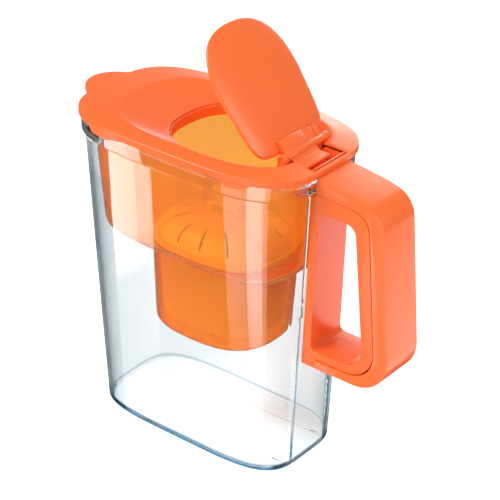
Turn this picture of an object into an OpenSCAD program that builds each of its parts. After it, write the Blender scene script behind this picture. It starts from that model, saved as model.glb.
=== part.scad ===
// Water filter jug: a clear jug with a loop handle, a hanging reservoir with an oval filter
// cartridge, and a lid with a fill flap. The origin is the centre of the jug's base, +Z is up,
// +X points to the handle and -X to the spout. Sizes are in millimetres.

/* [Jug] */
// Height of the lid's rim above the base
rim_z = 250; // [245:1:256]
// Length of the jug at its base
base_length = 174; // [168:1:176]
// Width of the jug at its base
base_width = 95; // [92:1:97]
// How far the jug's end walls, just below the collar, stand in from the lid's rim
neck_end = 5.3; // [4.3:0.1:6.3]
// How far the jug's side walls, just below the collar, stand in from the lid's rim
neck_side = 3.7; // [2.8:0.1:4]
// Height of the collar's lower edge
collar_z = 232; // [231:1:233]
// Thickness of the jug's wall
jug_wall = 2.5; // [2:0.1:2.6]
// Length that the pouring lip stands out at the spout
lip_out = 11; // [8:0.5:12]
// Depth of the pouring mouth below the jug's rim
lip_drop = 7; // [5:0.5:8]

/* [Lid] */
// Length of the lid along X, without its nose
lid_length = 207.6; // [207:0.1:208.4]
// Width of the lid
lid_width = 126.6; // [126.2:0.1:127.4]
// Length that the nose stands out over the spout
nose_out = 15.4; // [13:0.2:16]
// Half width of the nose where it meets the rim
nose_half = 22; // [20:0.5:24]
// Length of the fill opening
fill_length = 106.6; // [106.2:0.1:107.4]
// Width of the lid's band beside the fill opening
fill_side = 19; // [18.6:0.1:19.1]
// Thickness of the lid and of the flap
lid_wall = 1.8; // [1.6:0.1:2]

/* [Flap] */
// Angle of the open flap above its closed place
open_angle = 51.8; // [45:0.2:54]
// Space between the flap and the edge of the fill opening
flap_gap = 1.1; // [0.9:0.1:2]
// Distance of the hinge from the lid's end above the handle
pivot_end = 29; // [28.5:0.1:29.5]
// Radius of the hinge barrel
barrel_r = 3.4; // [3:0.1:3.5]
// Radius of the hinge stubs
stub_r = 1.55; // [1.4:0.05:1.8]
// Length of the thumb lever from the hinge
lever_length = 16; // [13:0.5:18]
// Width of the thumb lever
lever_width = 29; // [22:0.5:30]

/* [Reservoir and cartridge] */
// Height of the reservoir's floor at its wall
floor_z = 160.5; // [158:0.5:163]
// Thickness of the reservoir's wall
reservoir_wall = 2; // [1.6:0.1:2.2]
// Length of the cartridge well
well_length = 106; // [104:0.5:108]
// Width of the reservoir's floor beside the cartridge well
well_side = 8.6; // [8.1:0.1:9.6]
// Height of the well's underside above the base
well_z = 88; // [84:0.5:92]
// Height of the cartridge's pull loop above its shoulder
loop_height = 27; // [22:1:30]

/* [Handle] */
// Width of the handle
handle_width = 37; // [32:0.5:38]
// Height of the handle's top
handle_top = 245.3; // [243:0.1:245.6]
// Height of the handle's underside
handle_low = 92.8; // [88:0.2:100]
// Distance of the grip's back from the jug's centre, at the handle's underside
grip_x = 167.2; // [162:0.2:170]
// Thickness of the handle's walls
handle_wall = 2.4; // [2:0.1:3]

/* [Hidden] */

around = 132;         // points round a large outline
around_small = 72;    // points round a cartridge outline
gap = 0.1;            // space between pieces that rest on each other
jug_top = rim_z - 4;
orange = [1.0, 0.48, 0.24];

// --- Outlines -------------------------------------------------------------------------------

// Radius of a superellipse with half axes a and b and exponent n, at an angle
function oval_r(a, b, n, t) = pow(pow(abs(cos(t)) / a, n) + pow(abs(sin(t)) / b, n), -1 / n);

// One closed ring: [centre x, half length, half width, exponent at -X, height, exponent at +X,
// share of the width lost towards +X]
function ring(r, count) = [for (i = [0 : count - 1]) let (t = 360 * i / count,
    d = oval_r(r[1], r[2], cos(t) > 0 ? r[5] : r[3], t), x = d * cos(t),
    narrow = 1 - r[6] * max(0, x) / r[1]) [r[0] + x, d * sin(t) * narrow, r[4]]];

// A ring with the same exponent at both ends and no taper
function even_ring(xc, a, b, n, z) = [xc, a, b, n, z, n, 0];

// A ring made smaller by d all round, at height z
function inset(r, d, z) = [r[0], r[1] - d, r[2] - d, r[3], z, r[5], r[6]];

// The ring between two others at height z
function between(p, q, z) = let (f = (z - p[4]) / (q[4] - p[4])) [for (k = [0 : 6]) p[k] + f * (q[k] - p[k])];

// How far a nose of half width w has grown at distance y from its middle, from 0 to 1
function nose(y, w) = abs(y) < w ? pow(1 - pow(y / w, 2), 0.75) : 0;

// A ring pulled out at the spout by out, and raised there by up
function nosed(points, w, out, up) = [for (p = points) let (k = p[0] < 0 ? nose(p[1], w) : 0)
    [p[0] - out * k, p[1], p[2] + up * k]];

// A solid skinned over rings of equal count; open-ended stacks get flat caps, closed ones join up
module skin(rings, joined = false) {
    n = len(rings[0]);
    m = len(rings);
    last = joined ? m - 1 : m - 2;
    sides = [for (k = [0 : last], i = [0 : n - 1]) let (a = k * n, b = ((k + 1) % m) * n, j = (i + 1) % n)
        each [[a + i, b + j, a + j], [a + i, b + i, b + j]]];
    caps = joined ? [] : [[for (i = [0 : n - 1]) i], [for (i = [n - 1 : -1 : 0]) (m - 1) * n + i]];
    polyhedron(points = [for (r = rings) each r], faces = concat(sides, caps), convexity = 8);
}

// A polygon's corners [x, y, radius] turned into points with rounded corners
function rounded(c, steps = 8) = [for (i = [0 : len(c) - 1]) let (
    p = [c[i][0], c[i][1]], r = c[i][2],
    a = [c[(i + len(c) - 1) % len(c)][0], c[(i + len(c) - 1) % len(c)][1]],
    b = [c[(i + 1) % len(c)][0], c[(i + 1) % len(c)][1]],
    u = (a - p) / norm(a - p), v = (b - p) / norm(b - p),
    half = acos(u * v) / 2, mid = (u + v) / norm(u + v), o = p + mid * r / sin(half),
    s = p + u * r / tan(half) - o, e = p + v * r / tan(half) - o,
    start = atan2(s[1], s[0]), swing = atan2(e[1], e[0]) - start,
    turn = swing > 180 ? swing - 360 : swing < -180 ? swing + 360 : swing)
    each r == 0 ? [p] : [for (k = [0 : steps]) o + r * [cos(start + turn * k / steps), sin(start + turn * k / steps)]]];

// A solid whose outline lies in the XZ plane, between two distances along Y
module upright(points, y0, y1) {
    translate([0, y1, 0]) rotate([90, 0, 0]) linear_extrude(y1 - y0) polygon(points);
}

// --- Shared outlines --------------------------------------------------------------------------

lid_rim = even_ring(-6.3, lid_length / 2, lid_width / 2, 3.4, rim_z);
collar_low = even_ring(-6.4, lid_length / 2 - 2, lid_width / 2 - 1.8, 3.4, collar_z);
collar_top = inset(lid_rim, 1.2, jug_top);
jug_foot = even_ring(0.3, base_length / 2, base_width / 2, 4.1, 0);
jug_neck = even_ring(-6.6, lid_length / 2 - neck_end, lid_width / 2 - neck_side, 3.45, collar_z);
lid_end = lid_rim[0] + lid_rim[1];
pivot_x = lid_end - pivot_end;
fill_end = pivot_x + 3.5;
fill_hole = [fill_end - fill_length / 2, fill_length / 2, lid_width / 2 - fill_side, 2.6, rim_z - 3.4, 3.4, 0];

// --- Jug --------------------------------------------------------------------------------------

module jug_body() {
    lip_w = nose_half - 3;
    inner_neck = inset(jug_neck, jug_wall, collar_z - 1);
    color([0.80, 0.88, 0.90, 0.35]) union() {
        skin([
            ring(inset(jug_foot, 3.2, 0), around),
            ring(inset(jug_foot, 1.0, 0.9), around),
            ring(between(jug_foot, jug_neck, 3.2), around),
            ring(inset(jug_neck, 0, collar_z - 1.2), around),
            nosed(ring(collar_low, around), lip_w, lip_out * 0.25, 0),
            nosed(ring(inset(collar_top, 0.2, jug_top - 0.6), around), lip_w, lip_out, -lip_drop),
            nosed(ring(inset(collar_top, 0.8, jug_top), around), lip_w, lip_out, -lip_drop),
            nosed(ring(inset(collar_top, 2.0, jug_top), around), lip_w, lip_out, -lip_drop),
            nosed(ring(inset(collar_low, 2.3, collar_z + 1), around), lip_w, lip_out * 0.25, 0),
            ring(inner_neck, around),
            ring(inset(between(jug_foot, jug_neck, 8), jug_wall, 8), around),
            ring(inset(between(jug_foot, jug_neck, 5), jug_wall + 1.2, 4.4), around),
            ring(inset(jug_foot, jug_wall + 4, 3.4), around),
        ]);
        handle_pad();
    }
}

// The raised pad on the jug's end wall that the handle is fixed to
pad_half = 19.6;
pad_low = 130;
pad_out = 1.6;
function end_x(z) = let (r = between(jug_foot, jug_neck, z)) r[0] + r[1];

module handle_pad() {
    bite = jug_wall * 0.6;
    upright([[end_x(pad_low) - bite, pad_low], [end_x(pad_low + 2) + pad_out, pad_low + 2],
             [end_x(collar_z) + pad_out, collar_z - 0.4], [end_x(collar_z) - bite, collar_z - 0.4]],
            -pad_half, pad_half);
}

// --- Handle -----------------------------------------------------------------------------------

// The loop's outlines as corners [x, z, radius]; d moves the shell's outline inwards
back_x = function (z) end_x(z) + pad_out + gap;
collar_x = collar_low[0] + collar_low[1] + 1.3;
function loop_outer(d) = [
    [collar_x + d, handle_top - d, 3 - d / 2], [130, handle_top - 4.3 - d, 60],
    [grip_x - 14.6 - d, handle_top - 9.5 - d, 20 - d], [grip_x - d, handle_low + d, 28 - d],
    [collar_x + d, handle_low + d, 1]];
function loop_parting(d) = [
    [grip_x - 13 - d, handle_low + 7 + d, 22 - d], [grip_x - 25.5 - d, handle_top - 15.5 - d, 15]];
foot_x = collar_x + 6;   // where the liner's foot ends and the shell begins
function liner_outline() = concat([
    [back_x(handle_low), handle_low, 0], [foot_x - gap, handle_low, 0], [foot_x - gap, handle_low + 7, 0]],
    loop_parting(0), [
    [collar_x, handle_top - 12, 0], [collar_x, collar_z - 0.3, 0], [back_x(collar_z), collar_z - 1, 0]]);
function loop_window(d) = [
    [collar_x + 1.2 - d, 106.6 - d, 5], [grip_x - 23.4 + d, 106.6 - d, 16 + d],
    [grip_x - 36.6 + d, 219 + d, 9 + d], [collar_x + 2.4 - d, 219 + d, 5]];

module handle_shell() {
    half = handle_width / 2;
    color(orange) difference() {
        upright(rounded(loop_outer(0)), -half, half);
        upright(rounded(loop_outer(handle_wall)), handle_wall - half, half - handle_wall);
        upright(rounded(liner_room()), -half - 1, half + 1);
    }
}

// The liner's outline with a little room round it
function liner_room() = concat([
    [0, handle_low - 1, 0], [foot_x, handle_low - 1, 0], [foot_x, handle_low + 7 - gap, 0]],
    loop_parting(-gap), [[collar_x, handle_top - 12 + gap, 0], [0, handle_top - 12 + gap, 0]]);

module handle_liner() {
    half = handle_width / 2;
    core_x = collar_x + 8;
    color(orange) difference() {
        upright(rounded(liner_outline()), -half, half);
        upright(rounded(loop_window(0)), -half - 1, half + 1);
        difference() {
            upright(rounded(concat([[core_x, handle_low + 6, 0]], loop_parting(-1),
                    [[core_x, handle_top - 11, 0]])), handle_wall - half, half - handle_wall);
            upright(rounded(loop_window(handle_wall)), -half, half);
        }
    }
}

// --- Reservoir --------------------------------------------------------------------------------

well_x = 5;
reservoir_room = [12.6, 3.4]; // how far the reservoir's foot stands in from the jug's outside there
reservoir_in = [15.3, 6.3];   // how far the reservoir's mouth stands in from the lid's rim
flange_in = [6.8, 2.7];       // how far the flange that it hangs by stands in from the lid's rim
reservoir_low = let (r = between(jug_foot, jug_neck, floor_z + 3))
    even_ring(-2.5, r[1] - reservoir_room[0], r[2] - reservoir_room[1], 4, floor_z + 3);
reservoir_top = even_ring(-7.5, lid_rim[1] - reservoir_in[0], lid_rim[2] - reservoir_in[1], 3.6, jug_top - 0.2);
flange = even_ring(-8, lid_rim[1] - flange_in[0], lid_rim[2] - flange_in[1], 3.4, jug_top + gap);
well_mouth = even_ring(well_x, well_length / 2, reservoir_low[2] - well_side, 2.6, floor_z - 5);
seat_z = floor_z - 3.2;   // the ledge that the cartridge's seal sits on
well_foot = inset(well_mouth, 3, well_z + 5);
// Room in the reservoir's end for the lid's lever pocket
pocket_y0 = -18.5;
pocket_y1 = 20.5;
pocket_wall = 1.4;
pocket_floor = rim_z - 12;

module reservoir() {
    w = reservoir_wall;
    color([0.98, 0.50, 0.16, 0.6]) difference() {
        skin([
            ring(inset(well_foot, 5, well_z), around),
            ring(inset(well_foot, 1.4, well_z + 1.5), around),
            ring(well_foot, around),
            ring(well_mouth, around),
            ring(inset(reservoir_low, 2.6, floor_z - 1.6), around),
            ring(reservoir_low, around),
            ring(reservoir_top, around),
            ring(flange, around),
            ring(inset(flange, 0, jug_top + 1.8), around),
            ring(inset(reservoir_top, w, jug_top + 1.8), around),
            ring(inset(reservoir_low, w, floor_z + 3.6), around),
            ring(inset(reservoir_low, w + 2.4, floor_z + 0.4), around),
            ring(inset(well_mouth, -0.2, seat_z), around),
            ring(inset(well_mouth, w, seat_z), around),
            ring(inset(well_foot, w, well_z + 6), around),
            ring(inset(well_foot, 6.5, well_z + 2), around),
        ]);
        translate([pivot_x + 1.5, pocket_y0 - pocket_wall - 0.6, pocket_floor - pocket_wall - 1])
            cube([40, pocket_y1 - pocket_y0 + 2 * pocket_wall + 1.2, 40]);
        outlet_holes();
    }
}

// Holes in the well's floor that let the filtered water drop into the jug
module outlet_holes() {
    for (t = [0 : 36 : 359])
        translate([well_x + 31 * cos(t), 23 * sin(t), well_z - 1]) cylinder(r = 3.5, h = 8, $fn = 24);
}

// --- Lid --------------------------------------------------------------------------------------

pivot_z = rim_z + 0.5;
ridge_in = [23.8, 12.8];   // how far the ridge round the lid's top stands in from its rim
ridge = even_ring(-1, lid_rim[1] - ridge_in[0], lid_rim[2] - ridge_in[1], 3, rim_z + 0.4);
lug_near = [-22, -17.2];
lug_far = [24.8, 31.4];

module lid() {
    t = lid_wall;
    wide = nose_half;
    out = nose_out;
    color(orange) difference() {
        union() {
            skin([
                nosed(ring(inset(lid_rim, 0, rim_z - 6), around), wide, out, 3.6),
                nosed(ring(inset(lid_rim, 0, rim_z - 1.6), around), wide, out, 0),
                nosed(ring(inset(lid_rim, 0.4, rim_z - 0.5), around), wide, out, 0),
                nosed(ring(inset(lid_rim, 1.5, rim_z), around), wide, out, 0),
                ring(ridge, around),
                ring(fill_hole, around),
                ring(inset(fill_hole, 0.1, fill_hole[4] - 1.5), around),
                ring(inset(fill_hole, 1.8, fill_hole[4] - 1.5), around),
                ring(inset(fill_hole, 1.9, fill_hole[4] - 9), around),
                ring(inset(fill_hole, 0.3, fill_hole[4] - 9), around),
                ring(inset(fill_hole, -0.6, fill_hole[4] - 2.6), around),
                ring(inset(ridge, -0.6, rim_z - 1.5), around),
                nosed(ring(inset(lid_rim, 2.6, rim_z - 2.1), around), wide, out, 0),
                nosed(ring(inset(lid_rim, 1.0, rim_z - 3.4), around), wide, out, 0),
                nosed(ring(inset(lid_rim, 1.0, rim_z - 6), around), wide, out, 3.6),
            ], joined = true);
            skirt_ears();
            lever_pocket();
            hinge_bridge();
        }
        pocket_room();
        handle_notch();
        translate([pivot_x, -40, pivot_z]) rotate([-90, 0, 0]) cylinder(r = stub_r + 0.05, h = 80, $fn = 48);
    }
}

// The part of the skirt left out above the handle
module handle_notch() {
    half = handle_width / 2 + 1;
    translate([lid_end - 2.1, -half, rim_z - 8]) cube([6, 2 * half, 4.2]);
}

// Ears that hang below the lid's skirt, two on each side, for gripping it
module skirt_ears() {
    for (side = [-1, 1], ear = [[-78, -74, -57, -54], [44, 49, 64, 68]])
        intersection() {
            skin([
                ring(inset(lid_rim, 0, rim_z - 10.4), around),
                ring(inset(lid_rim, 0, rim_z - 5), around),
                ring(inset(lid_rim, 1.0, rim_z - 5), around),
                ring(inset(lid_rim, 1.0, rim_z - 10.4), around),
            ], joined = true);
            upright([[ear[0], rim_z - 5.5], [ear[1], rim_z - 10], [ear[2], rim_z - 10], [ear[3], rim_z - 5.5]],
                    side > 0 ? 0 : -80, side > 0 ? 80 : 0);
        }
}

// The pocket that the thumb lever swings down into: a deep part inside the jug's collar, and
// a shallow part above the collar
pocket_x = [pivot_x + 5.5, lid_end - 6.7, lid_end - 3];
pocket_step = rim_z - 2.4;

module lever_pocket() {
    y0 = pocket_y0 - pocket_wall;
    wide = pocket_y1 - pocket_y0 + 2 * pocket_wall;
    x0 = pocket_x[0] - pocket_wall;
    translate([x0, y0, pocket_floor - pocket_wall])
        cube([pocket_x[1] + pocket_wall - x0, wide, rim_z - 1.2 - pocket_floor + pocket_wall]);
    translate([x0, y0, pocket_step - 1.3]) cube([pocket_x[2] + 0.7 - x0, wide, 2.5]);
}

module pocket_room() {
    wide = pocket_y1 - pocket_y0;
    translate([pocket_x[0], pocket_y0, pocket_floor]) cube([pocket_x[1] - pocket_x[0], wide, 30]);
    translate([pocket_x[0], pocket_y0, pocket_step]) cube([pocket_x[2] - pocket_x[0], wide, 20]);
    // The lever's way through the pocket's front wall
    translate([pivot_x + 0.5, lug_near[1] + 0.3, pivot_z - 7]) cube([8, pocket_y1 - lug_near[1] - 0.3, 20]);
}

// The beam below the hinge and its two lugs
module hinge_bridge() {
    top = pivot_z - 6.2;
    translate([pivot_x - 5, lug_near[0], pocket_floor - pocket_wall])
        cube([11, lug_far[1] - lug_near[0], top - pocket_floor + pocket_wall]);
    for (lug = [lug_near, lug_far]) {
        translate([pivot_x - barrel_r, lug[0], top - 1]) cube([2 * barrel_r, lug[1] - lug[0], pivot_z - top + 1]);
        translate([pivot_x, lug[0], pivot_z]) rotate([-90, 0, 0])
            cylinder(r = barrel_r, h = lug[1] - lug[0], $fn = 48);
    }
}

// --- Flap -------------------------------------------------------------------------------------

root_room = 4.2;      // from the hinge's axis to the edge of the plate
slits = [9, 19.5];    // where the two slits beside the spring tongue begin
slit_width = 0.9;
flap_root_x = pivot_x - root_room;
flap_half = (flap_root_x - fill_end + fill_length - flap_gap) / 2;
flap_edge = [flap_root_x - flap_half, flap_half, fill_hole[2] - flap_gap, 2.5, rim_z - 4.6, 6.5, 0.09];

// The flap is shaped in its closed place and turned open about the hinge
module flap() {
    color(orange) union() {
        hinge_turn(open_angle) difference() {
            union() {
                flap_plate();
                flap_root();
            }
            for (y = slits) translate([pivot_x - 14, y, rim_z - 8]) cube([22, slit_width, 20]);
            for (lug = [lug_near, lug_far]) translate([pivot_x - barrel_r - 0.5, lug[0] - 0.4, rim_z - 12])
                cube([20, lug[1] - lug[0] + 0.8, 20]);
        }
        hinge_barrel();
        thumb_lever();
    }
}

module hinge_turn(angle) {
    translate([pivot_x, 0, pivot_z]) rotate([0, angle, 0]) translate([-pivot_x, 0, -pivot_z]) children();
}

// The crowned plate that closes the fill opening
module flap_plate() {
    z = rim_z;
    rise = 0.8;
    crown = even_ring(flap_edge[0], flap_edge[1] - 24, flap_edge[2] - 24, 2.4, z + rise);
    skin([
        ring(inset(crown, 0, z + rise - lid_wall), around_small),
        ring(inset(flap_edge, 16, z + rise - lid_wall - 0.4), around_small),
        ring(inset(flap_edge, 8, z + rise - lid_wall - 1.3), around_small),
        ring(inset(flap_edge, 2.4, z + rise - lid_wall - 2.6), around_small),
        ring(inset(flap_edge, 1.8, z - 4.6), around_small),
        ring(inset(flap_edge, 0.2, z - 4.6), around_small),
        ring(inset(flap_edge, 0, z - 3), around_small),
        ring(inset(flap_edge, 1.2, z - 1.9), around_small),
        ring(inset(flap_edge, 8, z + rise - 1.3), around_small),
        ring(inset(flap_edge, 16, z + rise - 0.4), around_small),
        ring(crown, around_small),
    ]);
}

// The thicker web that joins the plate to the hinge barrel
module flap_root() {
    upright([[pivot_x - 13, rim_z - 1.2], [pivot_x - 13, rim_z + 0.9], [pivot_x - 11.5, rim_z + 1.8],
             [pivot_x, pivot_z + barrel_r - 0.5], [pivot_x + 1, pivot_z - 2.2], [pivot_x - 4, rim_z - 2.6]],
            lug_near[1] + 0.37, slits[0] + 0.3);
    upright([[pivot_x - 12, rim_z - 1.4], [pivot_x - 12, rim_z + 0.9],
             [pivot_x - 1, pivot_z + barrel_r - 1.3], [pivot_x + 1, pivot_z - 2.2], [pivot_x - 4, rim_z - 2.6]],
            slits[0] + 0.6, lug_far[0] - 0.37);
}

// The barrel with a stub at each end that turns in the lid's lugs
module hinge_barrel() {
    y0 = lug_near[1] + 0.3;
    y1 = lug_far[0] - 0.3;
    translate([pivot_x, y0, pivot_z]) rotate([-90, 0, 0]) cylinder(r = barrel_r, h = y1 - y0, $fn = 48);
    translate([pivot_x, lug_near[0] + 0.4, pivot_z]) rotate([-90, 0, 0])
        cylinder(r = stub_r, h = lug_far[1] - lug_near[0] - 1.2, $fn = 48);
}

// The lever that the thumb presses, shown pressed down
module thumb_lever() {
    top = pivot_z - 3;
    upright(rounded([[pivot_x + 0.5, pivot_z + 2.4, 0], [pivot_x + 6.5, top, 3],
                     [pivot_x + lever_length, top, 1.2], [pivot_x + lever_length, top - 2.8, 1.2],
                     [pivot_x + 1, top - 0.3, 0]], 5),
            -lever_width / 2, lever_width / 2);
}

// --- Cartridge --------------------------------------------------------------------------------

shoulder_z = floor_z - 1.6;
cup_low = inset(well_mouth, 8, well_z + 8);
cup_top = inset(well_mouth, 5, shoulder_z);
cup_wall = 1.6;

module cartridge_housing() {
    c = around_small;
    color([0.93, 0.94, 0.95]) difference() {
        skin([
            ring(inset(cup_low, 2, cup_low[4]), c),
            ring(inset(cup_low, 0, cup_low[4] + 2), c),
            ring(cup_top, c),
            ring(inset(cup_top, -4.4, shoulder_z), c),
            ring(inset(cup_top, -4.4, shoulder_z + 2), c),
            ring(inset(cup_top, cup_wall, shoulder_z + 2), c),
            ring(inset(cup_low, cup_wall, cup_low[4] + 3), c),
            ring(inset(cup_low, cup_wall + 1, cup_low[4] + cup_wall), c),
        ]);
        for (y = [-16 : 8 : 16]) translate([well_x - 20, y - 1.5, cup_low[4] - 1]) cube([40, 3, 4]);
    }
}

module cartridge_cap() {
    c = around_small;
    z = shoulder_z + 2 + gap;
    dome = inset(cup_top, 0, z);
    color([0.95, 0.96, 0.97]) union() {
        difference() {
            skin([
                ring(inset(dome, 21, z + 16.4), c),
                ring(inset(dome, 9, z + 12.8), c),
                ring(inset(dome, 3.2, z + 7.2), c),
                ring(inset(dome, 1.8, z), c),
                ring(inset(dome, 0, z), c),
                ring(inset(dome, 1.5, z + 8), c),
                ring(inset(dome, 8, z + 14.5), c),
                ring(inset(dome, 20, z + 18), c),
            ]);
            for (t = [15 : 30 : 345]) translate([well_x, 0, z + 12]) rotate([0, 0, t])
                translate([26, -4, -8]) cube([20, 1.8, 16]);
        }
        pull_loop(z);
    }
}

// The loop that the cartridge is pulled out by, on the dome's crown
module pull_loop(z) {
    foot = z + 17;
    top = z + loop_height;
    translate([well_x, 0, 0]) upright(rounded([[-17, foot, 0], [-13, top, 6], [13, top, 6], [17, foot, 0],
        [12.5, foot, 0], [10.5, top - 3.4, 3], [-10.5, top - 3.4, 3], [-12.5, foot, 0]]), -4, 4);
}

module cartridge_seal() {
    c = around_small;
    z = seat_z + gap;
    outer = inset(cup_top, -4.2, z);
    color([0.9, 0.9, 0.88]) skin([
        ring(outer, c), ring(inset(outer, 0, shoulder_z - gap), c),
        ring(inset(outer, 3.9, shoulder_z - gap), c), ring(inset(outer, 3.9, z), c)], joined = true);
}

// A flat piece inside the cartridge, from height z to z + h
module cartridge_slice(z, h, room) {
    r = between(cup_low, cup_top, z);
    skin([ring(inset(r, cup_wall + room, z), around_small), ring(inset(r, cup_wall + room, z + h), around_small)]);
}

screen_low = cup_low[4] + 3.1;

module outlet_screen() {
    color([0.85, 0.87, 0.88]) cartridge_slice(screen_low, 1, 0.3);
}

module filter_media() {
    color([0.16, 0.15, 0.14]) cartridge_slice(screen_low + 1 + gap, 46, 0.4);
}

module felt_pad() {
    color([0.92, 0.92, 0.90]) cartridge_slice(screen_low + 47 + 2 * gap, 3, 0.4);
}

module inlet_screen() {
    color([0.85, 0.87, 0.88]) cartridge_slice(screen_low + 50 + 3 * gap, 1, 0.3);
}

jug_body();
handle_shell();
handle_liner();
reservoir();
lid();
flap();
cartridge_housing();
cartridge_cap();
cartridge_seal();
inlet_screen();
outlet_screen();
felt_pad();
filter_media();
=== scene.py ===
"""Water filter jug with a flip lid: clear moulded jug, loop handle, hanging reservoir with an
oval filter cartridge, and a spouted lid whose fill flap stands open."""
import math

import bmesh
import bpy
import numpy as np
from mathutils import Matrix, Vector


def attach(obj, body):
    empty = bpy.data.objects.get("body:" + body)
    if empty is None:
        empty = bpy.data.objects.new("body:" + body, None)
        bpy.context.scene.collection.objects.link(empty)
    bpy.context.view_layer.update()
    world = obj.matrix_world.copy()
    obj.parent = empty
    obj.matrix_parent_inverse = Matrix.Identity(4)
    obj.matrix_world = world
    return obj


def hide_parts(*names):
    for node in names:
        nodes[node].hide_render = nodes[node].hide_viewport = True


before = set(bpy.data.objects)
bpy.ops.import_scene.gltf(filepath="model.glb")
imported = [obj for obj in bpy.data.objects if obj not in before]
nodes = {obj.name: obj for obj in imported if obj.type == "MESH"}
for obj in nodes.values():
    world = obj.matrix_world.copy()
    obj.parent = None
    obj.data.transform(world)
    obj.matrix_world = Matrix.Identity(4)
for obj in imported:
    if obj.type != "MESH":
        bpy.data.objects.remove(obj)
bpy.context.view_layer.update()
MM = 0.001

# --- Camera and studio ------------------------------------------------------------------------
# A long lens above the handle side, a white floor that keeps the jug's shadow, and an even white
# surround. Upright cards that are seen only as mirror images put the tall pale streaks on the
# clear walls and the soft bands on the lid and the flap.

VIEW_AZIMUTH = 39.35
VIEW_ELEVATION = 29.58
VIEW_ROLL = 0.63
VIEW_PLACE = Vector((789.1, -1012.1, 876.7)) * MM
LENS_MM = 143.3
SENSOR_MM = 36
SHIFT = (0.1442, -0.0096)

scene = bpy.context.scene
bpy.ops.object.camera_add()
camera = bpy.context.object
camera.name = "lens"
turn = (Matrix.Rotation(math.radians(VIEW_AZIMUTH), 4, "Z")
        @ Matrix.Rotation(math.radians(90 - VIEW_ELEVATION), 4, "X")
        @ Matrix.Rotation(math.radians(VIEW_ROLL), 4, "Z"))
camera.matrix_world = Matrix.Translation(VIEW_PLACE) @ turn
camera.data.sensor_width = SENSOR_MM
camera.data.lens = LENS_MM
camera.data.shift_x, camera.data.shift_y = SHIFT
camera.data.clip_end = 20
scene.camera = camera
scene.view_settings.view_transform = "Standard"
# Light meets many clear faces in the jug, so it is followed through all of them.
scene.cycles.max_bounces = 64
scene.cycles.transmission_bounces = 64
scene.cycles.glossy_bounces = 64
scene.cycles.diffuse_bounces = 8
scene.cycles.transparent_max_bounces = 32


def add_node(tree, kind, settings=None, links=None):
    """A shader node with its plain settings, socket values and incoming links."""
    node = tree.nodes.new(kind)
    for name, value in (settings or {}).items():
        if isinstance(name, int) or name in node.inputs:
            node.inputs[name].default_value = value
        else:
            setattr(node, name, value)
    for name, source in (links or {}).items():
        tree.links.new(source, node.inputs[name])
    return node


def srgb(hex_colour):
    """A hex colour as linear red, green, blue and a full alpha."""
    parts = [int(hex_colour[i:i + 2], 16) / 255 for i in (1, 3, 5)]
    return [c / 12.92 if c <= 0.04045 else ((c + 0.055) / 1.055) ** 2.4 for c in parts] + [1.0]


WHITE = (1, 1, 1, 1)
# How strong the surround is as light on the outside, as a mirror image, and as light that has
# come in through the plastic. Seen directly or through the plastic it is 1, which is white.
SURROUND_LIGHT = 0.7
SURROUND_SHEEN = 0.08
SURROUND_INSIDE = 1.6
# How much less a mirror image counts as one where clear plastic stands in the way.
WALL_LOSS = 0.05
# Limits between whole counts of bounces.
OVER_NONE = 0.5
UNDER_TWO = 1.5

world = bpy.data.worlds.new("white_surround")
scene.world = world
world.use_nodes = True
tree = world.node_tree
tree.nodes.clear()


def ray_kinds(tree):
    """How far a ray counts as a direct look, with or without clear plastic between; as a mirror
    image, which light that runs along inside a wall is not; and as light for what stands behind
    clear plastic."""
    rays = add_node(tree, "ShaderNodeLightPath")
    seen = add_node(tree, "ShaderNodeMath", {"operation": "MAXIMUM"},
                    {0: rays.outputs["Is Camera Ray"], 1: rays.outputs["Is Transmission Ray"]})
    once = add_node(tree, "ShaderNodeMath", {"operation": "GREATER_THAN", 1: OVER_NONE},
                    {0: rays.outputs["Glossy Depth"]})
    few = add_node(tree, "ShaderNodeMath", {"operation": "LESS_THAN", 1: UNDER_TWO},
                   {0: rays.outputs["Glossy Depth"]})
    walled = add_node(tree, "ShaderNodeMath", {"operation": "GREATER_THAN", 1: OVER_NONE},
                      {0: rays.outputs["Transmission Depth"]})
    share = add_node(tree, "ShaderNodeMath", {"operation": "MULTIPLY_ADD", 1: -WALL_LOSS, 2: 1.0},
                     {0: walled.outputs[0]})
    single = add_node(tree, "ShaderNodeMath", {"operation": "MULTIPLY"},
                      {0: once.outputs[0], 1: few.outputs[0]})
    mirrored = add_node(tree, "ShaderNodeMath", {"operation": "MULTIPLY"},
                        {0: single.outputs[0], 1: share.outputs[0]})
    bounced = add_node(tree, "ShaderNodeMath", {"operation": "GREATER_THAN", 1: OVER_NONE},
                       {0: rays.outputs["Diffuse Depth"]})
    inside = add_node(tree, "ShaderNodeMath", {"operation": "MULTIPLY"},
                      {0: bounced.outputs[0], 1: rays.outputs["Is Transmission Ray"]})
    return seen.outputs[0], mirrored.outputs[0], inside.outputs[0]


seen, mirrored, inside = ray_kinds(tree)
lit = add_node(tree, "ShaderNodeMix", {"A": SURROUND_LIGHT, "B": 1.0}, {"Factor": seen})
filled = add_node(tree, "ShaderNodeMix", {"B": SURROUND_INSIDE},
                  {"Factor": inside, "A": lit.outputs["Result"]})
level = add_node(tree, "ShaderNodeMix", {"B": SURROUND_SHEEN},
                 {"Factor": mirrored, "A": filled.outputs["Result"]})
white = add_node(tree, "ShaderNodeBackground", {"Color": WHITE},
                 {"Strength": level.outputs["Result"]})
add_node(tree, "ShaderNodeOutputWorld", None, {"Surface": white.outputs[0]})


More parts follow.
